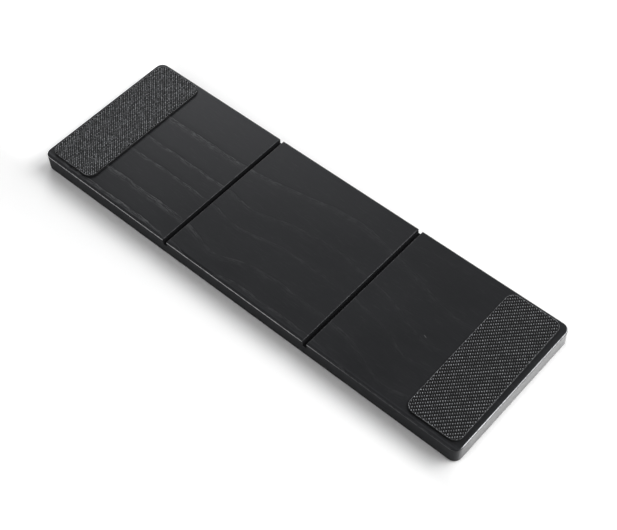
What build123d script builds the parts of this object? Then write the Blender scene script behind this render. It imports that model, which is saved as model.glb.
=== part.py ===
from build123d import *
import os

# A slant board lying flat: a base board that carries three deck panels with a
# groove between each two, a grip pad at each end, and four feet underneath.
# +X runs along the board, +Y across it and +Z up. The origin is under the
# middle of the board, on the surface that the feet stand on.

# ---- Board (mm) ----
board_length = 500.0
board_width = 160.0
corner_radius = 8.0  # the board's four corners, seen from above
base_thickness = 12.0
deck_thickness = 6.0
middle_panel_length = 166.0
groove_width = 4.5
top_edge_round = 1.2
groove_edge_round = 0.6
bottom_edge_round = 0.8

# ---- Grip pads: a face on a backing on an adhesive film ----
pad_width = 55.5  # along the board
pad_corner_radius = 9.0
pad_front_margin = 6.1
pad_back_margin = 2.9
left_pad_end_margin = 3.4
right_pad_end_margin = 5.5
right_pad_turn = 0.5  # degrees, as the pad was laid by hand
adhesive_thickness = 0.2
adhesive_inset = 1.0
backing_thickness = 1.1
face_thickness = 0.7
face_inset = 0.3
face_edge_round = 0.3

# ---- Feet, let into pockets in the base board ----
foot_diameter = 22.0
foot_height = 4.2
foot_stand_off = 1.0  # how far a foot stands out of the base board
foot_edge_round = 0.8
foot_end_inset = 24.0
foot_side_inset = 24.0
foot_pocket_clearance = 0.2
foot_web = 1.2  # the rubber that the washer presses on
washer_diameter = 10.0
washer_thickness = 0.8
washer_clearance = 0.2

# ---- Screws ----
screw_diameter = 3.5
screw_clearance = 0.15  # in what the screw passes
pilot_clearance = 0.04  # in the wood that the screw bites
screw_tip_length = 3.0
recess_width = 0.9  # one arm of the cross recess in a head
recess_length = 3.4
recess_depth = 1.1
pan_head_diameter = 7.0
pan_head_height = 1.6
pan_head_round = 0.8
foot_screw_length = 10.0
sunk_head_diameter = 7.0
sunk_head_rim = 0.3
sunk_head_angle = 90.0
sunk_head_setback = 0.3  # behind the underside of the base board
deck_screw_bite = 4.3  # into the deck panel
deck_screw_end_inset = 50.0
deck_screw_side_inset = 30.0

# ---- Heights that follow ----
base_bottom = foot_stand_off
deck_bottom = base_bottom + base_thickness
deck_top = deck_bottom + deck_thickness
backing_bottom = deck_top + adhesive_thickness
face_bottom = backing_bottom + backing_thickness
pocket_top = foot_height
washer_top = foot_height - foot_web
washer_bottom = washer_top - washer_thickness
foot_screw_top = washer_bottom + foot_screw_length
sunk_head_bottom = base_bottom + sunk_head_setback
deck_screw_top = deck_bottom + deck_screw_bite

# ---- Places that follow ----
end_panel_length = (board_length - middle_panel_length - 2 * groove_width) / 2
end_panel_middle = (board_length - end_panel_length) / 2
pad_length = board_width - pad_front_margin - pad_back_margin
pad_middle_y = (pad_front_margin - pad_back_margin) / 2
left_pad_middle = left_pad_end_margin + pad_width / 2 - board_length / 2
right_pad_middle = board_length / 2 - right_pad_end_margin - pad_width / 2
foot_reach_x = board_length / 2 - foot_end_inset
foot_reach_y = board_width / 2 - foot_side_inset
deck_screw_reach_y = board_width / 2 - deck_screw_side_inset

# name: (middle along X, length, side of the board's end that it reaches, or 0)
panels = {
    "left": (-end_panel_middle, end_panel_length, -1),
    "middle": (0.0, middle_panel_length, 0),
    "right": (end_panel_middle, end_panel_length, 1),
}
# name: (middle along X, turn about Z)
pads = {
    "left": (left_pad_middle, 0.0),
    "right": (right_pad_middle, right_pad_turn),
}
foot_places = {
    "front_left": (-foot_reach_x, -foot_reach_y),
    "front_right": (foot_reach_x, -foot_reach_y),
    "back_left": (-foot_reach_x, foot_reach_y),
    "back_right": (foot_reach_x, foot_reach_y),
}
deck_screw_places = {
    name: [
        (middle + side * (length / 2 - deck_screw_end_inset), y)
        for side in (-1, 1)
        for y in (-deck_screw_reach_y, deck_screw_reach_y)
    ]
    for name, (middle, length, _) in panels.items()
}


def groove_edges(panel, end_side):
    """Return the top edges of a deck panel that lie along a groove."""
    top = panel.faces().sort_by(Axis.Z)[-1]
    across = top.edges().filter_by(Axis.Y).sort_by(Axis.X)
    if end_side < 0:
        return across[-1:]
    if end_side > 0:
        return across[:1]
    return across


def facing_down(height, place=(0, 0)):
    """Return a plane at a height, from which holes are cut upwards.

    Its own Y runs to the front, which changes nothing for a pattern of holes
    that is the same on both sides of the board's middle line.
    """
    return Plane(origin=(*place, height), x_dir=(1, 0, 0), z_dir=(0, 0, -1))


def pad_plane(middle, turn, height):
    """Return the plane, at a height, of one layer of a grip pad."""
    return Plane(Location((middle, pad_middle_y, height), (0, 0, turn)))


os.makedirs("parts", exist_ok=True)


# ---- Base board ----
with BuildPart() as base_board:
    with BuildSketch(Plane.XY.offset(base_bottom)):
        RectangleRounded(board_length, board_width, corner_radius)
    extrude(amount=base_thickness)
    fillet(base_board.faces().sort_by(Axis.Z)[0].edges(), bottom_edge_round)
    with Locations(facing_down(base_bottom)):
        with Locations(*foot_places.values()):
            Hole(foot_diameter / 2 + foot_pocket_clearance, pocket_top - base_bottom)
    with Locations(facing_down(pocket_top)):
        with Locations(*foot_places.values()):
            Hole(screw_diameter / 2 + pilot_clearance, foot_screw_top - pocket_top)
    with Locations(facing_down(sunk_head_bottom + sunk_head_rim)):
        for places in deck_screw_places.values():
            with Locations(*places):
                CounterSinkHole(
                    screw_diameter / 2 + screw_clearance,
                    sunk_head_diameter / 2 + screw_clearance,
                    depth=base_thickness,
                    counter_sink_angle=sunk_head_angle,
                )
base_board.part.label = "base_board"
export_step(base_board.part, "parts/base_board.step")


# ---- Deck panels ----
for name, (middle, length, end_side) in panels.items():
    with BuildPart() as deck_panel:
        with BuildSketch(Plane.XY.offset(deck_bottom)) as outline:
            with Locations((middle, 0)):
                Rectangle(length, board_width)
            if end_side:
                end_corners = outline.vertices().sort_by(Axis.X)[::end_side][-2:]
                fillet(end_corners, corner_radius)
        extrude(amount=deck_thickness)
        top_edges = deck_panel.faces().sort_by(Axis.Z)[-1].edges()
        fillet(top_edges - groove_edges(deck_panel, end_side), top_edge_round)
        fillet(groove_edges(deck_panel, end_side), groove_edge_round)
        with Locations(facing_down(deck_bottom)):
            with Locations(*deck_screw_places[name]):
                Hole(screw_diameter / 2 + pilot_clearance, deck_screw_bite)
    deck_panel.part.label = f"deck_panel_{name}"
    export_step(deck_panel.part, f"parts/deck_panel_{name}.step")


# ---- Screws that hold the deck panels, driven from below ----
with BuildPart() as deck_screw:
    with BuildSketch(Plane.XZ):
        with BuildLine():
            Polyline(
                (0, sunk_head_bottom),
                (sunk_head_diameter / 2, sunk_head_bottom),
                (sunk_head_diameter / 2, sunk_head_bottom + sunk_head_rim),
                (screw_diameter / 2, sunk_head_bottom + sunk_head_rim
                 + (sunk_head_diameter - screw_diameter) / 2),
                (screw_diameter / 2, deck_screw_top - screw_tip_length),
                (0, deck_screw_top),
                close=True,
            )
        make_face()
    revolve(axis=Axis.Z)
    with BuildSketch(Plane.XY.offset(sunk_head_bottom)):
        Rectangle(recess_length, recess_width)
        Rectangle(recess_width, recess_length)
    extrude(amount=recess_depth, mode=Mode.SUBTRACT)

for name, places in deck_screw_places.items():
    with BuildPart() as deck_screws:
        with Locations(*places):
            add(deck_screw.part)
    deck_screws.part.label = f"deck_screws_{name}"
    export_step(deck_screws.part, f"parts/deck_screws_{name}.step")


# ---- Grip pads ----
for name, place in pads.items():
    with BuildPart() as adhesive:
        with BuildSketch(pad_plane(*place, deck_top)):
            RectangleRounded(
                pad_width - 2 * adhesive_inset,
                pad_length - 2 * adhesive_inset,
                pad_corner_radius - adhesive_inset,
            )
        extrude(amount=adhesive_thickness)
    adhesive.part.label = f"{name}_pad_adhesive"
    export_step(adhesive.part, f"parts/{name}_pad_adhesive.step")

    with BuildPart() as backing:
        with BuildSketch(pad_plane(*place, backing_bottom)):
            RectangleRounded(pad_width, pad_length, pad_corner_radius)
        extrude(amount=backing_thickness)
    backing.part.label = f"{name}_pad_backing"
    export_step(backing.part, f"parts/{name}_pad_backing.step")

    with BuildPart() as grip_face:
        with BuildSketch(pad_plane(*place, face_bottom)):
            RectangleRounded(
                pad_width - 2 * face_inset,
                pad_length - 2 * face_inset,
                pad_corner_radius - face_inset,
            )
        extrude(amount=face_thickness)
        fillet(grip_face.faces().sort_by(Axis.Z)[-1].edges(), face_edge_round)
    grip_face.part.label = f"{name}_pad_grip_face"
    export_step(grip_face.part, f"parts/{name}_pad_grip_face.step")


# ---- Feet ----
for name, place in foot_places.items():
    with BuildPart() as foot:
        with BuildSketch():
            with Locations(place):
                Circle(foot_diameter / 2)
        extrude(amount=foot_height)
        fillet(foot.edges().group_by(Axis.Z)[0], foot_edge_round)
        with Locations(facing_down(0, place)):
            CounterBoreHole(
                screw_diameter / 2 + screw_clearance,
                washer_diameter / 2 + washer_clearance,
                washer_top,
                foot_height,
            )
    foot.part.label = f"foot_{name}"
    export_step(foot.part, f"parts/foot_{name}.step")

with BuildPart() as foot_washers:
    with BuildSketch(Plane.XY.offset(washer_bottom)):
        with Locations(*foot_places.values()):
            Circle(washer_diameter / 2)
            Circle(screw_diameter / 2 + screw_clearance, mode=Mode.SUBTRACT)
    extrude(amount=washer_thickness)
foot_washers.part.label = "foot_washers"
export_step(foot_washers.part, "parts/foot_washers.step")


# ---- Screws that hold the feet ----
with BuildPart() as foot_screw:
    with BuildSketch(Plane.XY.offset(washer_bottom)):
        Circle(pan_head_diameter / 2)
    extrude(amount=-pan_head_height)
    fillet(foot_screw.edges().group_by(Axis.Z)[0], pan_head_round)
    with BuildSketch(Plane.XY.offset(washer_bottom - pan_head_height)):
        Rectangle(recess_length, recess_width)
        Rectangle(recess_width, recess_length)
    extrude(amount=recess_depth, mode=Mode.SUBTRACT)
    with BuildSketch(Plane.XZ):
        with BuildLine():
            Polyline(
                (0, washer_bottom),
                (screw_diameter / 2, washer_bottom),
                (screw_diameter / 2, foot_screw_top - screw_tip_length),
                (0, foot_screw_top),
                close=True,
            )
        make_face()
    revolve(axis=Axis.Z)

with BuildPart() as foot_screws:
    with Locations(*foot_places.values()):
        add(foot_screw.part)
foot_screws.part.label = "foot_screws"
export_step(foot_screws.part, "parts/foot_screws.step")
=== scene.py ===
"""The looks of a slant board: a black-stained plank with two grooves and two woven grip pads.

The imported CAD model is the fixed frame. The wooden pieces, the feet and the screws
are its own nodes with better finishes. The grip pads are modelled here: a foam
backing, a cloth, the floats of its twill and a bead round its edge. Lengths are in
metres, +X runs along the board, +Y across it to the back and +Z up.
"""

from __future__ import annotations

import logging
import math
from dataclasses import astuple, dataclass, field
from enum import Enum
from typing import Any, Sequence

import bmesh
import bpy
from mathutils import Matrix, Vector

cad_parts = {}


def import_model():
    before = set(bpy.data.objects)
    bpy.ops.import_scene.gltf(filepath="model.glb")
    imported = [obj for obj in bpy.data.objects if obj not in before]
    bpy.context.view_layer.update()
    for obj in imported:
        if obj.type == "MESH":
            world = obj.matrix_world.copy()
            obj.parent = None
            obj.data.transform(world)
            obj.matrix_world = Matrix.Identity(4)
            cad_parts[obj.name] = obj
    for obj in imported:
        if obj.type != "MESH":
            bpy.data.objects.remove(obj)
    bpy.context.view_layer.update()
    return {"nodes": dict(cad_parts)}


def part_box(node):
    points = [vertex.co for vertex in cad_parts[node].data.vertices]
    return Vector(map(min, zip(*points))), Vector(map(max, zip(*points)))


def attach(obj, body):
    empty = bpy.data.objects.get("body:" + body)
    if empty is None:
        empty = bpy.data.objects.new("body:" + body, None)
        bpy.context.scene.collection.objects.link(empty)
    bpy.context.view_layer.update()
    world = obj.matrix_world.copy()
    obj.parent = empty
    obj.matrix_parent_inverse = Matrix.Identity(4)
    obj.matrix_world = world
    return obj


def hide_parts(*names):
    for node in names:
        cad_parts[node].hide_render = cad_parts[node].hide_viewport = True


log = logging.getLogger("slant_board")

MM = 0.001
Colour = tuple[float, float, float, float]
Socket = bpy.types.NodeSocket
Material = bpy.types.Material
Piece = bpy.types.Object


def grey(level: float, cool: float = 0.0) -> Colour:
    """Return an opaque grey, with a share of blue added."""
    return (level, level * (1 + cool / 3), level * (1 + cool), 1.0)


# ---- Node trees ----


class Tree:
    """Adds nodes to one node tree and joins them socket by socket."""

    def __init__(self, tree: bpy.types.NodeTree) -> None:
        """Take over a tree, which may already hold nodes."""
        self.tree = tree

    def feed(self, socket: Socket, value: Any) -> None:
        """Link a value to a socket where it comes from a socket, or set it there.

        Args:
            socket: The input that is fed.
            value: An output socket, or a plain value for the input's own field.
        """
        if isinstance(value, Socket):
            self.tree.links.new(value, socket)
        else:
            socket.default_value = value

    def add(self, kind: str, inputs: dict[Any, Any] | None = None, **settings: Any) -> bpy.types.Node:
        """Add a node.

        Args:
            kind: The node's type name.
            inputs: What feeds its inputs, by name or place.
            settings: The node's own properties.

        Returns:
            The new node.
        """
        node = self.tree.nodes.new(kind)
        for name, value in settings.items():
            setattr(node, name, value)
        self.fill(node, inputs or {})
        return node

    def take(self, output: Any, kind: str, inputs: dict[Any, Any], **settings: Any) -> Socket:
        """Add a node and return one of its outputs."""
        return self.add(kind, inputs, **settings).outputs[output]

    def fill(self, node: bpy.types.Node, inputs: dict[Any, Any]) -> None:
        """Feed a node's inputs, by name or place."""
        for name, value in inputs.items():
            self.feed(node.inputs[name], value)

    def math(self, operation: str, *values: Any, clamp: bool = False) -> Socket:
        """Add a Math node and return its result."""
        inputs = dict(enumerate(values))
        return self.take(0, "ShaderNodeMath", inputs, operation=operation, use_clamp=clamp)

    def chain(self, operation: str, values: Sequence[Any]) -> Socket:
        """Join values by one operation.

        Args:
            operation: The Math node's operation.
            values: Two or more values, joined from the first on.

        Returns:
            The result.
        """
        result = values[0]
        for value in values[1:]:
            result = self.math(operation, result, value)
        return result

    def times(self, *values: Any) -> Socket:
        """Return the product of the values."""
        return self.chain("MULTIPLY", values)

    def plus(self, *values: Any) -> Socket:
        """Return the sum of the values."""
        return self.chain("ADD", values)

    def most(self, *values: Any) -> Socket:
        """Return the largest of the values."""
        return self.chain("MAXIMUM", values)

    def minus(self, first: Any, second: Any) -> Socket:
        """Return the first value less the second."""
        return self.math("SUBTRACT", first, second)

    def over(self, first: Any, second: Any) -> Socket:
        """Return the first value divided by the second."""
        return self.math("DIVIDE", first, second)

    def size(self, value: Any) -> Socket:
        """Return a value without its sign."""
        return self.math("ABSOLUTE", value)

    def other(self, share: Any) -> Socket:
        """Return what a share leaves of 1."""
        return self.minus(1.0, share)

    def bell(self, value: Any, middle: float, spread: float) -> Socket:
        """Return a bell curve of a value: 1 at the middle, next to nothing past twice the spread."""
        off = self.over(self.minus(value, middle), spread)
        return self.math("EXPONENT", self.times(off, off, -1.0))

    def vector(self, operation: str, *values: Any, out: str = "Vector") -> Socket:
        """Add a Vector Math node and return one of its results."""
        inputs = {3 if operation == "SCALE" and i == 1 else i: v for i, v in enumerate(values)}
        return self.take(out, "ShaderNodeVectorMath", inputs, operation=operation)

    def parts(self, vector: Any) -> list[Socket]:
        """Return the X, Y and Z of a vector."""
        return list(self.add("ShaderNodeSeparateXYZ", {0: vector}).outputs)

    def whole(self, x: Any, y: Any, z: Any) -> Socket:
        """Return the vector made of three numbers."""
        return self.take(0, "ShaderNodeCombineXYZ", {0: x, 1: y, 2: z})

    def ramp(self, value: Any, low: float, high: float) -> Socket:
        """Return 0 to 1, smoothly, as a value goes from low to high."""
        inputs = {"Value": value, "From Min": low, "From Max": high}
        return self.take("Result", "ShaderNodeMapRange", inputs, interpolation_type="SMOOTHSTEP")

    def noise(self, vector: Any, scale: Any = 1.0, detail: float = 2.0, rough: float = 0.5) -> Socket:
        """Return a smooth noise from 0 to 1 at a place."""
        inputs = {"Vector": vector, "Scale": scale, "Detail": detail, "Roughness": rough}
        return self.take("Fac", "ShaderNodeTexNoise", inputs)

    def blend(self, factor: Any, first: Any, second: Any) -> Socket:
        """Return a colour between two, by a factor that changes over the surface."""
        return self.take(2, "ShaderNodeMix", {0: factor, 6: first, 7: second}, data_type="RGBA")


class Group:
    """A node group with named inputs and outputs."""

    def __init__(
        self,
        name: str,
        kind: str,
        inputs: dict[str, tuple[str, Any]],
        outputs: dict[str, str],
    ) -> None:
        """Make an empty group.

        Args:
            name: The group's name.
            kind: ShaderNodeTree or GeometryNodeTree.
            inputs: Each input's socket type and default value, by name.
            outputs: Each output's socket type, by name.
        """
        self.data = bpy.data.node_groups.new(name, kind)
        for title, (socket, value) in inputs.items():
            item = self.data.interface.new_socket(title, in_out="INPUT", socket_type=socket)
            if value is not None:
                item.default_value = value
        for title, socket in outputs.items():
            self.data.interface.new_socket(title, in_out="OUTPUT", socket_type=socket)
        self.tree = Tree(self.data)
        self.inside = self.tree.add("NodeGroupInput").outputs
        self.result = self.tree.add("NodeGroupOutput").inputs

    def give(self, output: str, value: Socket) -> None:
        """Link a value to one of the group's outputs."""
        self.tree.feed(self.result[output], value)

    def place(self, material: Tree, values: dict[str, Any]) -> bpy.types.bpy_prop_collection:
        """Place the group in a material and return its outputs."""
        return material.add("ShaderNodeGroup", values, node_tree=self.data).outputs


FLOAT, VECTOR = "NodeSocketFloat", "NodeSocketVector"


def shader_group(name: str, inputs: dict[str, tuple[str, Any]], *outputs: str) -> Group:
    """Make an empty shader group that reads a point and gives out numbers."""
    return Group(name, "ShaderNodeTree", {"Point": (VECTOR, None), **inputs}, dict.fromkeys(outputs, FLOAT))


# ---- Effects ----


@dataclass(frozen=True)
class RingLine:
    """One growth ring where it meets the face, a line along the board that climbs and dips."""

    level: float  # its place across the board, at the left end
    hump: float  # how far it climbs right of the middle
    near_dip: float  # how far it drops left of the middle
    far_dip: float  # how far it drops near the right end
    width: float  # how far its open pores reach to the front
    boldness: float  # how pale they are


RING_INPUTS = ("Level", "Hump", "Near Dip", "Far Dip", "Width", "Boldness")
RING_LINES = (
    RingLine(33.0 * MM, 19 * MM, 0 * MM, 8 * MM, 8.0 * MM, 0.64),
    RingLine(2.0 * MM, 12 * MM, 6 * MM, 14 * MM, 5.0 * MM, 0.66),
    RingLine(-18.5 * MM, 4 * MM, 7 * MM, 15 * MM, 4.5 * MM, 0.68),
    RingLine(-49.0 * MM, 3 * MM, 11 * MM, 18 * MM, 7.5 * MM, 0.72),
    RingLine(-73.5 * MM, 3 * MM, 8 * MM, 14 * MM, 5.0 * MM, 0.95),
)
# where along the board all the rings climb or dip: middle, spread and which way
RING_BENDS = {
    "Hump": (35 * MM, 75 * MM, 1.0),
    "Near Dip": (-45 * MM, 28 * MM, -1.0),
    "Far Dip": (165 * MM, 36 * MM, -1.0),
}


class Effects:
    """The shader node groups that the finishes use."""

    fibre_stretch: float = 0.045  # a fibre's width over its length
    pore_stretch: float = 0.07
    ring_face: float = 19 * MM  # the height at which the rings' levels are given
    ring_lean: float = 0.7  # how far a ring moves across the board as it goes down
    ring_seed: float = 90.0  # keeps the rings' noises apart
    row_spacing: float = 1.5 * MM  # between the rows of pores of one ring
    dash_length: float = 8.5 * MM  # of the pores in a row
    patch_length: float = 16 * MM  # of the stretches where a row is whole or broken
    scratch_width: float = 0.4 * MM

    def __init__(self) -> None:
        """Build each group once."""
        self.fibre = self._fibre()
        self.ring = self._ring()
        self.figure = self._figure()
        self.wear = self._wear()
        self.scratch = self._scratch()
        self.mottle = self._mottle()

    def _fibre(self) -> Group:
        """Fine fibres and short pores that run along the board.

        Returns:
            The group, which gives out Fibre and Pores.
        """
        group = shader_group("wood_fibre", {"Fineness": (FLOAT, 700.0)}, "Fibre", "Pores")
        tree, given = group.tree, group.inside
        x, y, z = tree.parts(given["Point"])
        long = tree.whole(tree.times(x, self.fibre_stretch), y, z)
        group.give("Fibre", tree.noise(long, given["Fineness"], 3.0, 0.6))
        short = tree.whole(tree.times(x, self.pore_stretch), y, z)
        specks = tree.noise(short, tree.times(given["Fineness"], 2.0), 1.0, 0.4)
        group.give("Pores", tree.ramp(specks, 0.60, 0.74))
        return group

    def _ring(self) -> Group:
        """One growth ring: a thin dark line, with rows of open pale pores on its front side.

        Returns:
            The group, which gives out Pale for the pores and Dark for the line.
        """
        group = shader_group("growth_ring", dict.fromkeys(RING_INPUTS, (FLOAT, 0.0)), "Pale", "Dark")
        tree, given = group.tree, group.inside
        x, y, z = tree.parts(given["Point"])
        seed = tree.times(given["Level"], self.ring_seed)
        line = given["Level"]
        for name, (middle, spread, way) in RING_BENDS.items():
            line = tree.plus(line, tree.times(tree.bell(x, middle, spread), given[name], way))
        slow = tree.noise(tree.whole(tree.over(x, 31.25 * MM), seed, 0.0), 1.0, 3.0)
        quick = tree.noise(tree.whole(tree.over(x, 6 * MM), seed, 5.0))
        for wander, reach in ((slow, 4 * MM), (quick, 1.8 * MM)):
            line = tree.plus(line, tree.times(tree.minus(wander, 0.5), reach))
        lean = tree.times(tree.minus(z, self.ring_face), self.ring_lean)
        below = tree.minus(line, tree.plus(y, lean))

        row = tree.over(below, self.row_spacing / 2)
        dashes = tree.noise(tree.whole(tree.over(x, self.dash_length), row, seed), 1.0, 2.0, 0.6)
        patches = tree.noise(tree.whole(tree.over(x, self.patch_length), seed, 3.0))
        broken = tree.plus(0.35, tree.times(tree.ramp(patches, 0.36, 0.60), 0.65))
        opens = tree.ramp(below, 0.1 * MM, 0.6 * MM)
        closes = tree.math("SUBTRACT", 1.0, tree.over(below, given["Width"]), clamp=True)
        near, far = tree.ramp(x, -135 * MM, -35 * MM), tree.ramp(x, -35 * MM, 150 * MM)
        fade = tree.other(tree.plus(tree.times(near, 0.62), tree.times(far, 0.18)))
        pale = tree.times(tree.ramp(dashes, 0.47, 0.56), opens, closes, broken, fade, given["Boldness"])
        group.give("Pale", pale)

        gaps = tree.plus(0.45, tree.times(tree.ramp(slow, 0.35, 0.60), 0.55))
        edge = tree.times(tree.bell(below, -0.45 * MM, 0.55 * MM), gaps)
        shade = tree.times(tree.bell(below, -2.2 * MM, 2.4 * MM), 0.30)
        group.give("Dark", tree.times(tree.most(edge, shade), tree.ramp(fade, -0.2, 0.7)))
        return group

    def _figure(self) -> Group:
        """All the growth rings that cross the board's face.

        Returns:
            The group, which gives out the strongest Pale and Dark of the rings.
        """
        group = shader_group("board_figure", {}, "Pale", "Dark")
        tree, point = group.tree, group.inside["Point"]
        sizes = [dict(zip(RING_INPUTS, astuple(line))) for line in RING_LINES]
        rings = [self.ring.place(tree, {"Point": point, **size}) for size in sizes]
        for output in ("Pale", "Dark"):
            group.give(output, tree.most(*(ring[output] for ring in rings)))
        return group

    def _wear(self) -> Group:
        """Rubbed arrises of a box-shaped piece.

        Returns:
            The group, whose Mask is 1 on the edges of the box.
        """
        box = {"Low": (VECTOR, (0.0, 0.0, 0.0)), "High": (VECTOR, (1.0, 1.0, 1.0))}
        group = shader_group("rubbed_arris", {**box, "Width": (FLOAT, 1.5 * MM)}, "Mask")
        tree, given = group.tree, group.inside
        from_low = tree.parts(tree.vector("SUBTRACT", given["Point"], given["Low"]))
        from_high = tree.parts(tree.vector("SUBTRACT", given["High"], given["Point"]))
        gaps = (tree.math("MINIMUM", near, far) for near, far in zip(from_low, from_high))
        a, b, c = (tree.size(gap) for gap in gaps)
        second = tree.most(tree.math("MINIMUM", a, b), tree.math("MINIMUM", tree.most(a, b), c))
        close = tree.math("SUBTRACT", 1.0, tree.over(second, given["Width"]), clamp=True)
        ragged = tree.ramp(tree.noise(given["Point"], 260.0, 4.0, 0.7), 0.35, 0.75)
        group.give("Mask", tree.times(close, ragged))
        return group

    def _scratch(self) -> Group:
        """One short scratch on the upper face.

        Returns:
            The group, whose Mask is 1 in the scratch.
        """
        inputs = {"Place": (VECTOR, (0.0, 0.0, 0.0)), "Slope": (FLOAT, 0.0), "Half Length": (FLOAT, 2 * MM)}
        group = shader_group("short_scratch", inputs, "Mask")
        tree, given = group.tree, group.inside
        x, y, _ = tree.parts(tree.vector("SUBTRACT", given["Point"], given["Place"]))
        across = tree.over(tree.minus(y, tree.times(x, given["Slope"])), self.scratch_width)
        along = tree.over(x, given["Half Length"])
        reach = tree.vector("LENGTH", tree.whole(along, across, 0.0), out="Value")
        group.give("Mask", tree.other(tree.ramp(reach, 0.5, 1.1)))
        return group

    def _mottle(self) -> Group:
        """Handling marks: a broad soft cloud and fine specks of dust.

        Returns:
            The group, which gives out Cloud and Specks.
        """
        inputs = {"Cloud Size": (FLOAT, 60 * MM), "Speck Size": (FLOAT, 0.6 * MM)}
        group = shader_group("handled_surface", inputs, "Cloud", "Specks")
        tree, given = group.tree, group.inside
        broad = tree.vector("SCALE", given["Point"], tree.over(1.0, given["Cloud Size"]))
        group.give("Cloud", tree.noise(broad, 1.0, 4.0, 0.55))
        fine = tree.vector("SCALE", given["Point"], tree.over(1.0, given["Speck Size"]))
        group.give("Specks", tree.ramp(tree.noise(fine, 1.0, 1.0), 0.72, 0.8))
        return group


# ---- Finishes ----


def new_material(name: str) -> tuple[Material, Tree, bpy.types.Node]:
    """Make a material.

    Args:
        name: The material's name.

    Returns:
        The material, its tree and its Principled shader.
    """
    material = bpy.data.materials.new(name)
    material.use_nodes = True
    return material, Tree(material.node_tree), material.node_tree.nodes["Principled BSDF"]


class Finish:
    """A material made of nodes round one Principled shader."""

    name: str

    def build(self, effects: Effects) -> Material:
        """Make the material.

        Args:
            effects: The node groups to draw on.

        Returns:
            The material.
        """
        material, tree, shader = new_material(self.name)
        point = tree.add("ShaderNodeTexCoord").outputs["Object"]
        tree.fill(shader, self.look(tree, point, effects))
        return material

    def look(self, tree: Tree, point: Socket, effects: Effects) -> dict[str, Any]:
        """Add the nodes of the finish.

        Args:
            tree: The material's tree.
            point: The Object coordinates.
            effects: The node groups to draw on.

        Returns:
            What feeds the shader's inputs, by name.
        """
        raise NotImplementedError

    @staticmethod
    def emboss(tree: Tree, height: Socket, depth: float, strength: float) -> dict[str, Socket]:
        """Press a relief into the surface.

        Args:
            tree: The material's tree.
            height: The relief, from 0 to 1.
            depth: What 1 stands for, in metres.
            strength: How much of it shows.

        Returns:
            What feeds the shader's normal, by name.
        """
        bump = tree.add("ShaderNodeBump", {"Strength": strength, "Distance": depth, "Height": height})
        return {"Normal": bump.outputs["Normal"]}


@dataclass(frozen=True)
class BoardSizes:
    """The sizes of the whole board that its finish is laid out by."""

    half_length: float
    half_width: float
    groove_floor: float  # the height of the base board's upper face


@dataclass(frozen=True)
class Spot:
    """Where a point of the board lies, and how far its surface faces each way."""

    x: Socket
    y: Socket
    z: Socket
    endways: Socket  # to either end, without its sign
    sideways: Socket  # to the front or the back, without its sign
    up: Socket
    at_end: Socket  # 1 close to either end of the board


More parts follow.
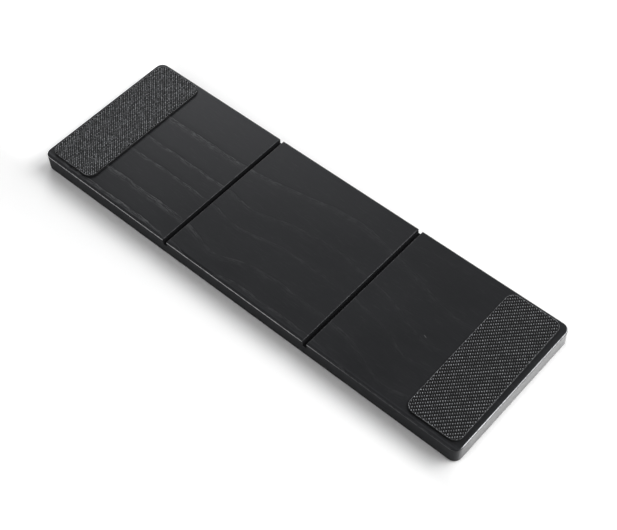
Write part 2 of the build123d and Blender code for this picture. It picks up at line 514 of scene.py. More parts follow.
@dataclass(frozen=True)
class StainedWood(Finish):
    """Black stain on open-pored wood under a thin satin lacquer, for one piece."""

    name: str
    low: Vector
    high: Vector
    board: BoardSizes
    scratches: tuple[tuple[float, float, float], ...] = ()  # X, Y and slope of each
    deep: Colour = grey(0.0075, 0.10)
    raised: Colour = grey(0.0115, 0.10)
    filler: Colour = grey(0.085, 0.03)
    # the dark ring lines, and the painted shade in the grooves
    ring_line_and_groove_shade: Colour = grey(0.003)
    rubbed: Colour = grey(0.085, 0.02)
    # painted highlights along the front arris and the right end's top arris
    front_arris_highlight: Colour = grey(0.80, 0.02)
    end_arris_highlight: Colour = grey(0.80, 0.05)
    arris: float = 1.1 * MM
    roughness: float = 0.322
    side_roughness: float = 0.64
    bare_roughness: float = 0.6  # what bare wood adds to it
    gloss: float = 0.295
    # painted cool tint on the reflections, standing in for the colour of the light
    sheen: Colour = (0.91, 0.925, 1.0, 1.0)
    seal_roughness: float = 0.12  # of the thicker lacquer on the end grain

    def look(self, tree: Tree, point: Socket, effects: Effects) -> dict[str, Any]:
        """Lay the figure over the whole board and the wear on this piece.

        Args:
            tree: The material's tree.
            point: The Object coordinates.
            effects: The node groups to draw on.

        Returns:
            What feeds the shader's inputs, by name.
        """
        spot = self._spot(tree, point)
        wood = effects.fibre.place(tree, {"Point": point})
        figure = effects.figure.place(tree, {"Point": point})
        handled = effects.mottle.place(tree, {"Point": point, "Cloud Size": 70 * MM})
        long_grain = tree.other(tree.times(tree.ramp(spot.endways, 0.3, 0.8), 0.9))
        dark = tree.times(figure["Dark"], long_grain)
        bare_and_shaded = self._bare_shaded_grooves(tree, spot)

        uneven = tree.times(tree.plus(wood["Fibre"], handled["Cloud"]), 0.5)
        colour = tree.blend(uneven, self.deep, self.raised)
        colour = tree.blend(tree.times(wood["Pores"], 0.06), colour, self.filler)
        colour = tree.blend(tree.times(figure["Dark"], 0.9), colour, self.ring_line_and_groove_shade)
        colour = tree.blend(tree.times(figure["Pale"], long_grain), colour, self.filler)
        colour = tree.blend(self._worn(tree, point, effects), colour, self.rubbed)
        # painted shade: the floor and walls of the grooves are darkened to near black
        colour = tree.blend(bare_and_shaded, colour, self.ring_line_and_groove_shade)
        # painted highlights along the front and right-end arrises
        colour = self._arris_highlights(tree, point, spot, colour)

        from_front = tree.plus(spot.y, self.board.half_width)
        grain = tree.plus(tree.times(wood["Fibre"], 0.05), tree.times(handled["Cloud"], 0.11))
        pressed = tree.times(dark, 0.22)
        side = tree.times(tree.ramp(spot.sideways, 0.4, 0.95), self.side_roughness - self.roughness)
        behind_arris = tree.times(tree.bell(from_front, 1.9 * MM, 1.2 * MM), tree.ramp(spot.up, 0.75, 0.9))
        open_wood = tree.times(tree.most(behind_arris, bare_and_shaded), self.bare_roughness)
        roughness = tree.plus(self.roughness, grain, pressed, side, open_wood)

        sealed = tree.plus(0.5, tree.times(tree.ramp(from_front, 2 * MM, 24 * MM), 0.5))
        sealed = tree.times(sealed, tree.ramp(spot.endways, 0.85, 0.98), spot.at_end)
        relief = tree.minus(tree.times(wood["Fibre"], 0.15), tree.times(wood["Pores"], 0.2))
        relief = tree.minus(relief, tree.times(dark, 0.8))
        return {
            "Base Color": colour,
            "Roughness": roughness,
            "Specular IOR Level": self.gloss,
            "Specular Tint": self.sheen,
            "Coat Weight": sealed,
            "Coat Roughness": self.seal_roughness,
            **self.emboss(tree, relief, 0.06 * MM, 0.5),
        }

    def _spot(self, tree: Tree, point: Socket) -> Spot:
        """Work out where a point lies and which way its surface faces.

        Args:
            tree: The material's tree.
            point: The Object coordinates.

        Returns:
            The point's spot.
        """
        x, y, z = tree.parts(point)
        facing = tree.parts(tree.add("ShaderNodeTexCoord").outputs["Normal"])
        end = self.board.half_length
        at_end = tree.ramp(tree.size(x), end - 14 * MM, end - 10 * MM)
        return Spot(x, y, z, tree.size(facing[0]), tree.size(facing[1]), facing[2], at_end)

    def _worn(self, tree: Tree, point: Socket, effects: Effects) -> Socket:
        """Mark the rubbed arrises and the scratches.

        Args:
            tree: The material's tree.
            point: The Object coordinates.
            effects: The node groups to draw on.

        Returns:
            The mask, 1 where the stain is rubbed.
        """
        edge = {"Point": point, "Low": self.low, "High": self.high, "Width": self.arris}
        masks = [effects.wear.place(tree, edge)["Mask"]]
        for x, y, slope in self.scratches:
            mark = {"Point": point, "Place": (x, y, 0.0), "Slope": slope}
            masks.append(effects.scratch.place(tree, mark)["Mask"])
        return tree.most(*masks)

    def _bare_shaded_grooves(self, tree: Tree, spot: Spot) -> Socket:
        """Mark the floor and walls of the grooves: bare, rougher wood, darkened to near black as painted
        shade.

        Args:
            tree: The material's tree.
            spot: Where the point lies.

        Returns:
            The mask, 1 where the wood has no lacquer and where the grooves get painted shade.
        """
        floor = self.board.groove_floor
        low = tree.times(tree.ramp(spot.z, floor + 1.5 * MM, floor + 0.5 * MM), tree.ramp(spot.up, 0.7, 0.9))
        side = tree.times(tree.ramp(spot.endways, 0.7, 0.95), tree.other(spot.at_end))
        return tree.most(low, side)

    def _arris_highlights(self, tree: Tree, point: Socket, spot: Spot, colour: Socket) -> Socket:
        """Lay pale painted highlight lines along the front and the right end over a colour.

        Args:
            tree: The material's tree.
            point: The Object coordinates.
            spot: Where the point lies.
            colour: What the lines are laid over.

        Returns:
            The colour with the lines on it.
        """
        end, front = self.board.half_length, -self.board.half_width
        drawn = tree.vector("MULTIPLY", point, (1.0, 1.0, 0.2))
        nicks = tree.ramp(tree.noise(drawn, 420.0, 3.0, 0.6), 0.36, 0.52)

        # painted highlight on the lower part of the front arris's round, fading to the right and broken by
        # nicks
        low_round = tree.times(tree.ramp(spot.sideways, 0.72, 0.86), tree.ramp(spot.up, 0.08, 0.25))
        fading = tree.other(tree.times(tree.ramp(spot.x, 40 * MM, 150 * MM), 0.9))
        uneven = tree.plus(0.6, tree.times(nicks, 0.4))
        line = tree.times(low_round, tree.ramp(spot.y, 0.0, front + 10 * MM), fading, uneven)
        colour = tree.blend(line, colour, self.front_arris_highlight)

        # painted highlight on the right end's top arris, broken by nicks
        high_round = tree.times(tree.ramp(spot.endways, 0.20, 0.40), tree.ramp(spot.up, 0.45, 0.65))
        fading = tree.other(tree.times(tree.ramp(spot.y, -45 * MM, 10 * MM), 0.3))
        uneven = tree.plus(0.5, tree.times(nicks, 0.5))
        right_end = tree.ramp(spot.x, end - 12 * MM, end - 9 * MM)
        past_corner = tree.ramp(spot.y, front + 5 * MM, front + 11 * MM)
        line = tree.times(high_round, uneven, right_end, past_corner, fading)
        return tree.blend(line, colour, self.end_arris_highlight)


@dataclass(frozen=True)
class TwillYarn(Finish):
    """Coated yarn of the grip cloth: dark, with a satin shine along each float."""

    name: str
    dark: Colour
    pale: Colour
    roughness: float

    def look(self, tree: Tree, point: Socket, effects: Effects) -> dict[str, Any]:
        """Blend the colours by each float's own tint; the pale colour partly paints the glints on the
        floats.

        Args:
            tree: The material's tree.
            point: The Object coordinates.
            effects: The node groups to draw on.

        Returns:
            What feeds the shader's inputs, by name.
        """
        handled = effects.mottle.place(tree, {"Point": point, "Cloud Size": 25 * MM, "Speck Size": 0.5 * MM})
        tint = tree.add("ShaderNodeAttribute", attribute_name="tint").outputs["Fac"]
        cloudy = tree.plus(0.6, tree.times(handled["Cloud"], 0.8))
        lit = tree.math("MULTIPLY", tree.math("POWER", tint, 1.4), cloudy, clamp=True)
        return {
            "Base Color": tree.blend(lit, self.dark, self.pale),
            "Roughness": tree.plus(self.roughness, tree.times(handled["Cloud"], 0.2)),
            **self.emboss(tree, tree.noise(point, 2600.0), 0.06 * MM, 0.4),
        }


@dataclass(frozen=True)
class MattRubber(Finish):
    """Matt black rubber with a fine moulded or foamed skin."""

    name: str
    colour: Colour
    pale: Colour
    grain_size: float
    relief: float
    roughness: float
    gloss: float = 0.5

    def look(self, tree: Tree, point: Socket, effects: Effects) -> dict[str, Any]:
        """Dust the rubber a little.

        Args:
            tree: The material's tree.
            point: The Object coordinates.
            effects: The node groups to draw on.

        Returns:
            What feeds the shader's inputs, by name.
        """
        handled = effects.mottle.place(tree, {"Point": point, "Cloud Size": 18 * MM})
        dust = tree.times(handled["Specks"], 0.3)
        shade = tree.math("ADD", tree.times(handled["Cloud"], 0.7), dust, clamp=True)
        return {
            "Base Color": tree.blend(shade, self.colour, self.pale),
            "Roughness": tree.plus(self.roughness, tree.times(handled["Cloud"], 0.15)),
            "Specular IOR Level": self.gloss,
            **self.emboss(tree, tree.noise(point, 1 / self.grain_size), self.relief, 0.6),
        }


@dataclass(frozen=True)
class ZincPlate(Finish):
    """Bright zinc on steel, brushed by the driver and the box it came in."""

    name: str
    bright: Colour = grey(0.62, 0.02)
    dull: Colour = grey(0.34, -0.04)

    def look(self, tree: Tree, point: Socket, effects: Effects) -> dict[str, Any]:
        """Dull the plate where it was handled.

        Args:
            tree: The material's tree.
            point: The Object coordinates.
            effects: The node groups to draw on.

        Returns:
            What feeds the shader's inputs, by name.
        """
        marks = {"Point": point, "Cloud Size": 2.5 * MM, "Speck Size": 0.25 * MM}
        handled = effects.mottle.place(tree, marks)
        shade = tree.math("ADD", handled["Cloud"], tree.times(handled["Specks"], 0.4), clamp=True)
        brushed = tree.noise(tree.vector("MULTIPLY", point, (1.0, 12.0, 1.0)), 900.0)
        return {
            "Base Color": tree.blend(shade, self.bright, self.dull),
            "Roughness": tree.plus(0.22, tree.times(shade, 0.25)),
            "Metallic": 1.0,
            **self.emboss(tree, brushed, 0.02 * MM, 0.4),
        }


@dataclass(frozen=True)
class AdhesiveFilm(Finish):
    """The edge of a double-sided film, yellowed and a little dusty."""

    name: str
    clean: Colour = (0.55, 0.52, 0.43, 1.0)
    dusty: Colour = (0.22, 0.21, 0.19, 1.0)

    def look(self, tree: Tree, point: Socket, effects: Effects) -> dict[str, Any]:
        """Blend the clean film with the dusty one.

        Args:
            tree: The material's tree.
            point: The Object coordinates.
            effects: The node groups to draw on.

        Returns:
            What feeds the shader's inputs, by name.
        """
        handled = effects.mottle.place(tree, {"Point": point, "Cloud Size": 6 * MM, "Speck Size": 0.4 * MM})
        return {
            "Base Color": tree.blend(handled["Cloud"], self.clean, self.dusty),
            "Roughness": tree.plus(0.35, tree.times(handled["Cloud"], 0.3)),
        }


# ---- Geometry helpers ----


def link_mesh(name: str, mesh: bpy.types.Mesh) -> Piece:
    """Put a finished mesh in the scene.

    Args:
        name: The piece's name.
        mesh: Its mesh, with its place in it.

    Returns:
        The piece, at the origin.
    """
    piece = bpy.data.objects.new(name, mesh)
    bpy.context.scene.collection.objects.link(piece)
    return piece


def grow(name: str, group: Group, values: dict[str, Any], place: Matrix) -> Piece:
    """Run a geometry tree and keep what it makes as a plain mesh.

    Args:
        name: The new piece's name.
        group: The geometry tree.
        values: What its named inputs are set to.
        place: Where the result goes.

    Returns:
        The piece, at the origin, with its place in its mesh.
    """
    host = link_mesh(f"{name}_host", bpy.data.meshes.new(f"{name}_host"))
    modifier = host.modifiers.new("grow", "NODES")
    modifier.node_group = group.data
    items = (item for item in group.data.interface.items_tree if item.in_out == "INPUT")
    sockets = {item.name: item.identifier for item in items}
    for title, value in values.items():
        modifier[sockets[title]] = value
    graph = bpy.context.evaluated_depsgraph_get()
    mesh = bpy.data.meshes.new_from_object(host.evaluated_get(graph), depsgraph=graph)
    bpy.data.objects.remove(host)
    mesh.name = name
    mesh.transform(place)
    return link_mesh(name, mesh)


def rounded_outline(width: float, length: float, radius: float, steps: int = 8) -> list[Vector]:
    """Draw a rectangle with rounded corners, turning to the left.

    Args:
        width: Its size along X.
        length: Its size along Y.
        radius: The radius of its corners.
        steps: How many sides stand for each corner's curve.

    Returns:
        The points.
    """
    points = []
    corners = ((1, 1, 0), (-1, 1, 1), (-1, -1, 2), (1, -1, 3))
    for side_x, side_y, quarter in corners:
        middle = Vector((side_x * (width / 2 - radius), side_y * (length / 2 - radius), 0))
        for step in range(steps + 1):
            angle = (quarter + step / steps) * math.pi / 2
            points.append(middle + Vector((math.cos(angle), math.sin(angle), 0)) * radius)
    return points


def skin(shape: bmesh.types.BMesh, loops: Sequence[Sequence[bmesh.types.BMVert]]) -> None:
    """Join each loop of points to the next one by smooth faces.

    Args:
        shape: The mesh that the faces are added to.
        loops: The loops, with as many points each.
    """
    for first, second in zip(loops, loops[1:]):
        for i, corner in enumerate(first):
            j = (i + 1) % len(first)
            shape.faces.new((corner, first[j], second[j], second[i])).smooth = True


def layer(
    name: str,
    size: tuple[float, float, float],
    profile: Sequence[tuple[float, float]],
    place: Matrix,
) -> Piece:
    """Build a closed flat layer with a shaped edge.

    Args:
        name: The piece's name.
        size: Its width, length and corner radius.
        profile: The edge from the bottom up, as (inset, height) pairs.
        place: Where it goes.

    Returns:
        The piece, smooth round its edge.
    """
    width, length, radius = size
    shape = bmesh.new()
    loops = []
    for inset, height in profile:
        outline = rounded_outline(width - 2 * inset, length - 2 * inset, radius - inset)
        loops.append([shape.verts.new(point + Vector((0, 0, height))) for point in outline])
    skin(shape, loops)
    shape.faces.new(reversed(loops[0]))
    shape.faces.new(loops[-1])
    bmesh.ops.recalc_face_normals(shape, faces=shape.faces)
    shape.transform(place)
    mesh = bpy.data.meshes.new(name)
    shape.to_mesh(mesh)
    shape.free()
    return link_mesh(name, mesh)


# ---- The weave ----


class Twill(Enum):
    """Which way the ribs of a twill climb, as the sign of its step."""

    TO_THE_LEFT = 1.0
    TO_THE_RIGHT = -1.0


class Yarn(Enum):
    """The two sets of yarn in the cloth."""

    WARP = 0
    WEFT = 1


@dataclass(frozen=True)
class Weave:
    """How a grip cloth is woven, and the finish of each set of its yarns."""

    twill: Twill
    finishes: dict[Yarn, str]
    harnesses: float  # how many steps the weave takes to repeat
    pitch: float
    float_length: float
    float_width: float
    weft_share: float  # the size of a weft float over a warp float
    float_height: float = 0.56 * MM


FINE_WEAVE = Weave(
    twill=Twill.TO_THE_LEFT,
    finishes={Yarn.WARP: "shiny_yarn", Yarn.WEFT: "middling_yarn"},
    harnesses=4.0,
    pitch=1.3 * MM,
    float_length=1.5 * MM,
    float_width=1.05 * MM,
    weft_share=0.9,
)
COARSE_WEAVE = Weave(
    twill=Twill.TO_THE_RIGHT,
    finishes={Yarn.WARP: "bright_yarn", Yarn.WEFT: "dull_yarn"},
    harnesses=3.0,
    pitch=1.47 * MM,
    float_length=1.18 * MM,
    float_width=0.96 * MM,
    weft_share=0.85,
)


def geometry_group(name: str, *sizes: str) -> Group:
    """Make an empty geometry group for yarns over a rounded rectangle.

    Args:
        name: The group's name.
        sizes: The sizes that it takes beside the rectangle's and the pitch.

    Returns:
        The group, which gives out Geometry.
    """
    names = ("Width", "Length", "Corner Radius", "Pitch", *sizes)
    ends = {"Seed": ("NodeSocketInt", 0), "Material": ("NodeSocketMaterial", None)}
    inputs = {**dict.fromkeys(names, (FLOAT, 0.0)), **ends}
    return Group(name, "GeometryNodeTree", inputs, {"Geometry": "NodeSocketGeometry"})


def smooth_ball(tree: Tree, radius: Any) -> Socket:
    """Return a ball of a few dozen smooth faces."""
    ball = tree.take("Mesh", "GeometryNodeMeshUVSphere", {"Segments": 8, "Rings": 5, "Radius": radius})
    return tree.take("Geometry", "GeometryNodeSetShadeSmooth", {"Geometry": ball})


def random_vector(tree: Tree, low: Sequence[float], high: Sequence[float], seed: Any) -> Socket:
    """Return a vector between two that is drawn for each point."""
    inputs = {"Min": low, "Max": high, "Seed": seed}
    return tree.take(0, "FunctionNodeRandomValue", inputs, data_type="FLOAT_VECTOR")


def finish_yarns(group: Group, yarns: Socket, seed: Socket) -> None:
    """Give each instance its own tint, make it real, dress it and put it out.

    Args:
        group: The geometry group.
        yarns: The instances.
        seed: What the tints are drawn by.
    """
    tree = group.tree
    tint = tree.take(1, "FunctionNodeRandomValue", {2: 0.0, 3: 1.0, "Seed": seed}, data_type="FLOAT")
    inputs = {"Geometry": yarns, "Name": "tint", "Value": tint}
    options = {"data_type": "FLOAT", "domain": "INSTANCE"}
    named = tree.take("Geometry", "GeometryNodeStoreNamedAttribute", inputs, **options)
    real = tree.take("Geometry", "GeometryNodeRealizeInstances", {"Geometry": named})
    inputs = {"Geometry": real, "Material": group.inside["Material"]}
    group.give("Geometry", tree.take("Geometry", "GeometryNodeSetMaterial", inputs))


def twill_floats() -> Group:
    """Build the tree that lays one set of a twill's floats over a rounded rectangle.

    Returns:
        The geometry group, with a named input for each size.
    """
    # Start is 0 for the warp and more for the weft
    sizes = ("Margin", "Float Length", "Float Width", "Float Height", "Harnesses", "Step", "Start")
    group = geometry_group("twill_floats", *sizes)
    tree, given = group.tree, group.inside
    pitch = given["Pitch"]

    def count(size: Any) -> Socket:
        """Return an odd number of yarns that spans a size."""
        half = tree.math("CEIL", tree.over(tree.times(size, 0.5), pitch))
        return tree.plus(tree.times(half, 2.0), 1.0)

    across, along = count(given["Width"]), count(given["Length"])
    spans = {
        "Size X": tree.times(tree.minus(across, 1.0), pitch),
        "Size Y": tree.times(tree.minus(along, 1.0), pitch),
    }
    counts = {"Vertices X": across, "Vertices Y": along}
    grid = tree.take("Mesh", "GeometryNodeMeshGrid", {**spans, **counts})

    x, y, _ = tree.parts(tree.take(0, "GeometryNodeInputPosition", {}))
    column = tree.math("ROUND", tree.over(x, pitch))
    row = tree.math("ROUND", tree.over(y, pitch))
    turn = tree.minus(tree.plus(column, tree.times(row, given["Step"])), given["Start"])
    beat = tree.math("FLOORED_MODULO", turn, given["Harnesses"])
    starts = tree.math("LESS_THAN", tree.size(beat), 0.5)

    weft = tree.math("GREATER_THAN", given["Start"], 0.5)
    half_pitch = tree.times(pitch, 0.5)
    shift_x = tree.times(half_pitch, weft)
    shift_y = tree.times(half_pitch, tree.other(weft), given["Step"])

    def beyond(place: Any, size: Any) -> Socket:
        """Return how far a place lies past the straight part of a side."""
        straight = tree.minus(tree.times(size, 0.5), given["Corner Radius"])
        return tree.most(tree.minus(tree.size(place), straight), 0.0)

    past_x = beyond(tree.plus(x, shift_x), given["Width"])
    past_y = beyond(tree.plus(y, shift_y), given["Length"])
    reach = tree.vector("LENGTH", tree.whole(past_x, past_y, 0.0), out="Value")
    inside = tree.math("LESS_THAN", reach, tree.minus(given["Corner Radius"], given["Margin"]))
    kept = {"Mesh": grid, "Selection": tree.times(starts, inside)}
    points = tree.take("Points", "GeometryNodeMeshToPoints", kept)
    shift = {"Geometry": points, "Offset": tree.whole(shift_x, shift_y, 0.0)}
    middles = tree.take("Geometry", "GeometryNodeSetPosition", shift)

    poles_along_y = {"Geometry": smooth_ball(tree, 0.5), "Rotation": (math.pi / 2, 0.0, 0.0)}
    laid = tree.take("Geometry", "GeometryNodeTransform", poles_along_y)
    shaped = tree.whole(given["Float Width"], given["Float Length"], given["Float Height"])
    yarn = tree.take("Geometry", "GeometryNodeTransform", {"Geometry": laid, "Scale": shaped})

    seed = given["Seed"]
    wobble = random_vector(tree, (-0.05, -0.08, -0.10), (0.05, 0.08, 0.10), seed)
    swell = random_vector(tree, (0.92, 0.90, 0.80), (1.06, 1.05, 1.15), tree.plus(seed, 7.0))
    facing = tree.whole(0.0, 0.0, tree.times(weft, math.pi / 2))
    turned = {"Rotation": tree.vector("ADD", facing, wobble), "Scale": swell}
    laid_out = {"Points": middles, "Instance": yarn, **turned}
    floats = tree.take("Instances", "GeometryNodeInstanceOnPoints", laid_out)
    finish_yarns(group, floats, tree.plus(seed, 13.0))
    return group


def edge_beads() -> Group:
    """Build the tree that sets sealed yarn ends along a rounded rectangle.

    Returns:
        The geometry group, with a named input for each size.
    """
    group = geometry_group("edge_beads", "Bead Size")
    tree, given = group.tree, group.inside
    sides = {"Width": given["Width"], "Height": given["Length"]}
    box = tree.take("Curve", "GeometryNodeCurvePrimitiveQuadrilateral", sides)
    corners = {"Curve": box, "Radius": given["Corner Radius"], "Count": 10, "Limit Radius": True}
    rounded = tree.take("Curve", "GeometryNodeFilletCurve", corners, mode="POLY")
    spaced = {"Curve": rounded, "Length": given["Pitch"]}
    points = tree.take("Points", "GeometryNodeCurveToPoints", spaced, mode="LENGTH")
    ball = smooth_ball(tree, tree.times(given["Bead Size"], 0.5))
    swell = random_vector(tree, (0.75, 0.75, 0.8), (1.25, 1.25, 1.0), given["Seed"])
    laid_out = {"Points": points, "Instance": ball, "Scale": swell}
    beads = tree.take("Instances", "GeometryNodeInstanceOnPoints", laid_out)
    finish_yarns(group, beads, tree.plus(given["Seed"], 3.0))
    return group


# ---- The pads ----


@dataclass
class Cloths:
    """What the two grip pads share: their geometry trees and their finishes."""

    effects: Effects
    floats: Group = field(init=False)
    beads: Group = field(init=False)
    finishes: dict[str, Material] = field(init=False)

    def __post_init__(self) -> None:
        """Build the trees and the finishes."""
        self.floats = twill_floats()
        self.beads = edge_beads()
        cool = 0.08
        # the warps paler than the wefts, and the two pads' different yarns, are partly painted highlight:
        # they stand in for the glints of the light on the floats
        made = (
            TwillYarn("bright_yarn", dark=grey(0.12, cool), pale=grey(0.36, cool), roughness=0.32),
            TwillYarn("dull_yarn", dark=grey(0.018, cool), pale=grey(0.070, cool), roughness=0.48),
            TwillYarn("middling_yarn", dark=grey(0.068, cool), pale=grey(0.29, cool), roughness=0.38),
            TwillYarn("shiny_yarn", dark=grey(0.076, cool), pale=grey(0.33, cool), roughness=0.34),
            TwillYarn("sealed_edge", dark=grey(0.045, cool), pale=grey(0.28, cool), roughness=0.32),
            MattRubber("ground_cloth", grey(0.004, 0.1), grey(0.008, 0.1), 0.5 * MM, 0.1 * MM, 0.8, 0.2),
            MattRubber("foam_backing", grey(0.006), grey(0.014), 0.35 * MM, 0.08 * MM, 0.85),
        )
        self.finishes = {finish.name: finish.build(self.effects) for finish in made}


@dataclass
class GripPad:
    """One grip pad: foam backing, ground cloth, two sets of floats and an edge bead."""

    side: str
    weave: Weave
    cloths: Cloths
    seed: int
    turn: float = 0.0  # about +Z, in degrees
    corner: float = 9 * MM
    cloth_inset: float = 0.3 * MM
    bead_size: float = 0.72 * MM
    bead_pitch: float = 0.95 * MM

    def __post_init__(self) -> None:
        """Read the pad's place and size from the frame."""
        low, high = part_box(f"{self.side}_pad_backing")
        plain_low, plain_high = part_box("left_pad_backing")  # not turned, so its box is its size
        self.width, self.length = (plain_high - plain_low).xy
        middle = (low + high) / 2
        turned = Matrix.Rotation(math.radians(self.turn), 4, "Z")
        self.place = Matrix.Translation((middle.x, middle.y, 0)) @ turned
        self.backing_bottom, self.backing_top = low.z, high.z
        self.face_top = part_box(f"{self.side}_pad_grip_face")[1].z
        self.yarn_line = self.face_top - self.weave.float_height / 2

    def build(self) -> None:
        """Build every piece of the pad and fix it to the board."""
        backing = self._backing()
        cloth = self._ground_cloth()
        floats = [self._floats(yarn) for yarn in Yarn]
        bead = self._edge_beads()
        for piece in (backing, cloth, bead, *floats):
            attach(piece, "root")
        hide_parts(f"{self.side}_pad_backing")
        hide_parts(f"{self.side}_pad_grip_face")
        for piece in (backing, cloth, bead, *floats):
            log.info("%s: %d faces", piece.name, len(piece.data.polygons))

    def _layer(self, kind: str, profile: Sequence[tuple[float, float]], finish: str) -> Piece:
        """Build one flat layer of the pad and dress it.

        Args:
            kind: The last word of its name.
            profile: Its edge from the bottom up, as (inset, height) pairs.
            finish: The name of its finish.

        Returns:
            The layer.
        """
        size = (self.width, self.length, self.corner)
        piece = layer(f"{self.side}_pad_{kind}", size, profile, self.place)
        piece.data.materials.append(self.cloths.finishes[finish])
        return piece

    def _backing(self) -> Piece:
        """Build the foam backing, its cut side bulging a little between its faces.

        Returns:
            The backing.
        """
        thickness = self.backing_top - self.backing_bottom
        bulge = ((0.22 * MM, 0.0), (0.06 * MM, 0.25), (0.0, 0.5), (0.06 * MM, 0.75), (0.2 * MM, 1.0))
        profile = [(inset, self.backing_bottom + share * thickness) for inset, share in bulge]
        return self._layer("foam", profile, "foam_backing")

    def _ground_cloth(self) -> Piece:
        """Build the coated ground that the yarns lie in.

        Returns:
            The cloth.
        """
        eased = 0.12 * MM
        top = self.yarn_line + 0.02 * MM
        inset = self.cloth_inset
        profile = [(inset, self.backing_top), (inset, top - eased), (inset + eased, top)]
        return self._layer("cloth", profile, "ground_cloth")

    def _floats(self, yarn: Yarn) -> Piece:
        """Lay the floats of one set of yarn.

        Args:
            yarn: Warp or weft.

        Returns:
            All the floats as one piece.
        """
        weave = self.weave
        share = 1.0 if yarn is Yarn.WARP else weave.weft_share
        values = {
            "Width": self.width,
            "Length": self.length,
            "Corner Radius": self.corner,
            "Margin": self.cloth_inset + self.bead_size / 2 + weave.float_length * 0.3,
            "Pitch": weave.pitch,
            "Float Length": weave.float_length * share,
            "Float Width": weave.float_width * share,
            "Float Height": weave.float_height * share,
            "Harnesses": weave.harnesses,
            "Step": weave.twill.value,
            "Start": yarn.value * (weave.harnesses // 2),
            "Seed": self.seed * 10 + yarn.value,
            "Material": self.cloths.finishes[weave.finishes[yarn]],
        }
        place = Matrix.Translation((0, 0, self.yarn_line)) @ self.place
        return grow(f"{self.side}_pad_{yarn.name.lower()}", self.cloths.floats, values, place)

    def _edge_beads(self) -> Piece:
        """Set the heat-sealed yarn ends round the cloth.

        Returns:
            All the ends as one piece.
        """
        inset = self.cloth_inset + self.bead_size / 2
        values = {
            "Width": self.width - 2 * inset,
            "Length": self.length - 2 * inset,
            "Corner Radius": self.corner - inset,
            "Pitch": self.bead_pitch,
            "Bead Size": self.bead_size,
            "Seed": self.seed,
            "Material": self.cloths.finishes["sealed_edge"],
        }
        place = Matrix.Translation((0, 0, self.face_top - self.bead_size / 2)) @ self.place
        return grow(f"{self.side}_pad_edge", self.cloths.beads, values, place)


# ---- The board ----


@dataclass
class Board:
    """The wooden pieces and the hardware under them, which are CAD nodes."""

    nodes: dict[str, Piece]
    effects: Effects

    def dress(self) -> None:
        """Give each node its finish."""
        self._stain()
        rubber = MattRubber("foot_rubber_finish", grey(0.012), grey(0.028), 0.8 * MM, 0.03 * MM, 0.6)
        made = {
            ("foot_front", "foot_back"): rubber,
            ("foot_washers", "screws"): ZincPlate("zinc_plate"),
            ("adhesive",): AdhesiveFilm("adhesive_edge"),
        }
        for words, finish in made.items():
            material = finish.build(self.effects)
            for name in self.nodes:
                if any(word in name for word in words):
                    self._coat(name, material)

    def _stain(self) -> None:
        """Stain the base board and the deck panels as one board."""
        floor_side, groove_floor = (corner.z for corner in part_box("base_board"))
        deck_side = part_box("deck_panel_middle")[1].z
        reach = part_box("base_board")[1]
        sizes = BoardSizes(reach.x, reach.y, groove_floor)
        scratches = {"deck_panel_right": ((0.160, -0.0078, -0.35),)}
        for name in ("base_board", "deck_panel_left", "deck_panel_middle", "deck_panel_right"):
            low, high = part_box(name)
            low.z, high.z = floor_side, deck_side  # so that no wear shows where the layers are glued
            wood = StainedWood(f"stain_{name}", low, high, sizes, scratches.get(name, ()))
            self._coat(name, wood.build(self.effects))

    def _coat(self, name: str, material: Material) -> None:
        """Put a material in every slot of a node.

        Args:
            name: The node's name.
            material: The material.
        """
        for slot in self.nodes[name].material_slots:
            slot.material = material
        log.info("%s: %s", name, material.name)


# ---- The studio ----


@dataclass(frozen=True)
class SoftBox:
    """A large soft lamp that is turned to the middle of the board."""

    name: str
    place: tuple[float, float, float]
    size: tuple[float, float]
    power: float

    def build(self) -> None:
        """Hang the lamp and turn it to the board."""
        lamp = bpy.data.lights.new(self.name, "AREA")
        lamp.shape = "RECTANGLE"
        lamp.size, lamp.size_y = self.size
        lamp.energy = self.power
        holder = bpy.data.objects.new(self.name, lamp)
        holder.location = self.place
        holder.rotation_euler = (-Vector(self.place)).to_track_quat("-Z", "Y").to_euler()
        bpy.context.scene.collection.objects.link(holder)


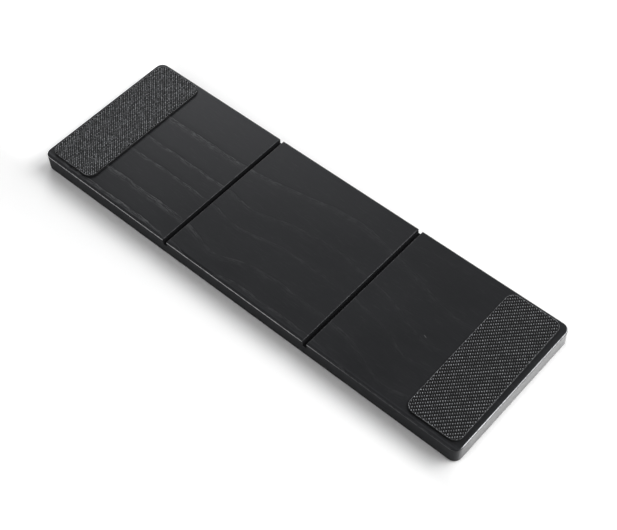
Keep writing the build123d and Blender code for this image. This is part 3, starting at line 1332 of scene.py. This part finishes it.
@dataclass(frozen=True)
class Studio:
    """A white floor, soft light mostly from the back and the right, and the camera."""

    lamps: tuple[SoftBox, ...] = (
        SoftBox("right_key", (1.33, 0.77, 1.12), (1.2, 0.7), 14.6),
        SoftBox("back_key", (0.79, 0.94, 1.46), (1.2, 0.9), 10.8),
        SoftBox("back_rim", (0.77, 1.33, 1.12), (1.2, 0.7), 8.0),
        SoftBox("left_sheen", (-1.49, 1.25, 1.03), (1.0, 0.7), 13.0),
        SoftBox("back_sheen", (-0.82, 1.42, 1.15), (1.0, 0.7), 2.5),
        SoftBox("front_fill", (-0.67, -1.16, 1.34), (1.2, 0.9), 6.4),
        SoftBox("right_fill", (1.20, 0.21, 1.46), (1.2, 0.9), 4.8),
        SoftBox("near_fill", (0.32, -1.18, 1.46), (1.2, 0.9), 3.0),
        SoftBox("left_fill", (-1.45, -0.13, 1.22), (1.2, 0.9), 1.8),
    )
    sky: float = 0.04
    sky_colour: Colour = (0.97, 0.985, 1.0, 1.0)
    # the floor and its wall, from the middle out, as (reach, height)
    sweep: tuple[tuple[float, float], ...] = (
        (5.0, 0.0),
        (5.6, 0.15),
        (5.9, 0.45),
        (6.0, 0.8),
        (6.0, 1.6),
    )
    sweep_sides: int = 48
    floor_grey: float = 0.55  # its shade in the light that it throws back
    floor_clear: float = 0.38  # how far from the board the painted light makes the floor pure white
    end_glow: float = 0.25  # how much of that painted light the floor has beside the board's ends, lifting the shadow there
    eye: tuple[float, float, float] = (0.51453, -0.51318, 0.96093)
    look_at: tuple[float, float, float] = (0.03313, -0.01547, 0.019)
    roll: float = -3.144  # degrees
    lens: float = 76.27  # millimetres, on a sensor 36 mm wide

    def build(self) -> None:
        """Set up the floor, the lamps, the sky and the camera."""
        self._floor()
        for lamp in self.lamps:
            lamp.build()
        self._sky()
        self._camera()

    def _floor(self) -> None:
        """Lay a white floor that keeps the board's shadow, lifted by painted light away from the board and
        beside its ends, and sweeps up to a wall all round.
        """
        shape = bmesh.new()
        turns = [2 * math.pi * step / self.sweep_sides for step in range(self.sweep_sides)]
        rings = []
        for reach, height in self.sweep:
            places = [(reach * math.cos(turn), reach * math.sin(turn), height) for turn in turns]
            rings.append([shape.verts.new(place) for place in places])
        shape.faces.new(rings[0])
        skin(shape, rings[::-1])
        mesh = bpy.data.meshes.new("studio_floor")
        shape.to_mesh(mesh)
        shape.free()
        mesh.materials.append(self._white())
        link_mesh("studio_floor", mesh)

    def _white(self) -> Material:
        """Make the floor's material, a plain grey that is seen and reflected as white, with painted light
        that lifts the board's shadow away from the board and beside its ends.

        Returns:
            The material.
        """
        material, tree, shader = new_material("studio_white")
        ray = tree.add("ShaderNodeLightPath").outputs
        seen = tree.most(ray["Is Camera Ray"], ray["Is Glossy Ray"], ray["Is Transmission Ray"])
        tree.fill(shader, {"Base Color": tree.blend(seen, grey(self.floor_grey), grey(1.0))})
        tree.fill(shader, {"Roughness": 1.0, "Specular IOR Level": 0.0})
        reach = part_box("base_board")[1]
        x, y, _ = tree.parts(tree.add("ShaderNodeTexCoord").outputs["Object"])
        # painted light: the floor glows more the further it lies from the board, and a little beside its
        # ends, lifting the lamps' shadow
        past_end = tree.most(tree.minus(tree.size(x), reach.x), 0.0)
        past_side = tree.most(tree.minus(tree.size(y), reach.y), 0.0)
        away = tree.vector("LENGTH", tree.whole(past_end, past_side, 0.0), out="Value")
        behind_front = tree.ramp(y, -25 * MM - reach.y, 10 * MM - reach.y)
        painted_end_light = tree.times(tree.ramp(past_end, 0.0, 8 * MM), behind_front, self.end_glow)
        painted_floor_light = tree.most(tree.ramp(away, 0.0, self.floor_clear), painted_end_light)
        tree.fill(shader, {"Emission Color": grey(1.0), "Emission Strength": tree.times(painted_floor_light, seen)})
        return material

    def _sky(self) -> None:
        """Fill the room with an even light."""
        world = bpy.data.worlds.new("studio_sky")
        world.use_nodes = True
        background = world.node_tree.nodes["Background"]
        background.inputs["Color"].default_value = self.sky_colour
        background.inputs["Strength"].default_value = self.sky
        bpy.context.scene.world = world

    def _camera(self) -> None:
        """Place the camera over the board's right front corner."""
        data = bpy.data.cameras.new("camera")
        data.sensor_width = 36.0
        data.lens = self.lens
        camera = bpy.data.objects.new("camera", data)
        aim = (Vector(self.look_at) - Vector(self.eye)).to_track_quat("-Z", "Y").to_matrix().to_4x4()
        rolled = Matrix.Rotation(math.radians(self.roll), 4, "Z")
        camera.matrix_world = Matrix.Translation(self.eye) @ aim @ rolled
        bpy.context.scene.collection.objects.link(camera)
        bpy.context.scene.camera = camera


def main() -> None:
    """Load the frame and build the looks round it."""
    logging.basicConfig(level=logging.INFO, format="%(name)s: %(message)s")
    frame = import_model()
    effects = Effects()
    Board(frame["nodes"], effects).dress()
    cloths = Cloths(effects)
    GripPad("left", FINE_WEAVE, cloths, seed=4).build()
    GripPad("right", COARSE_WEAVE, cloths, seed=5, turn=0.5).build()
    Studio().build()
    bpy.context.scene.view_settings.view_transform = "Standard"


if __name__ == "__main__":
    main()
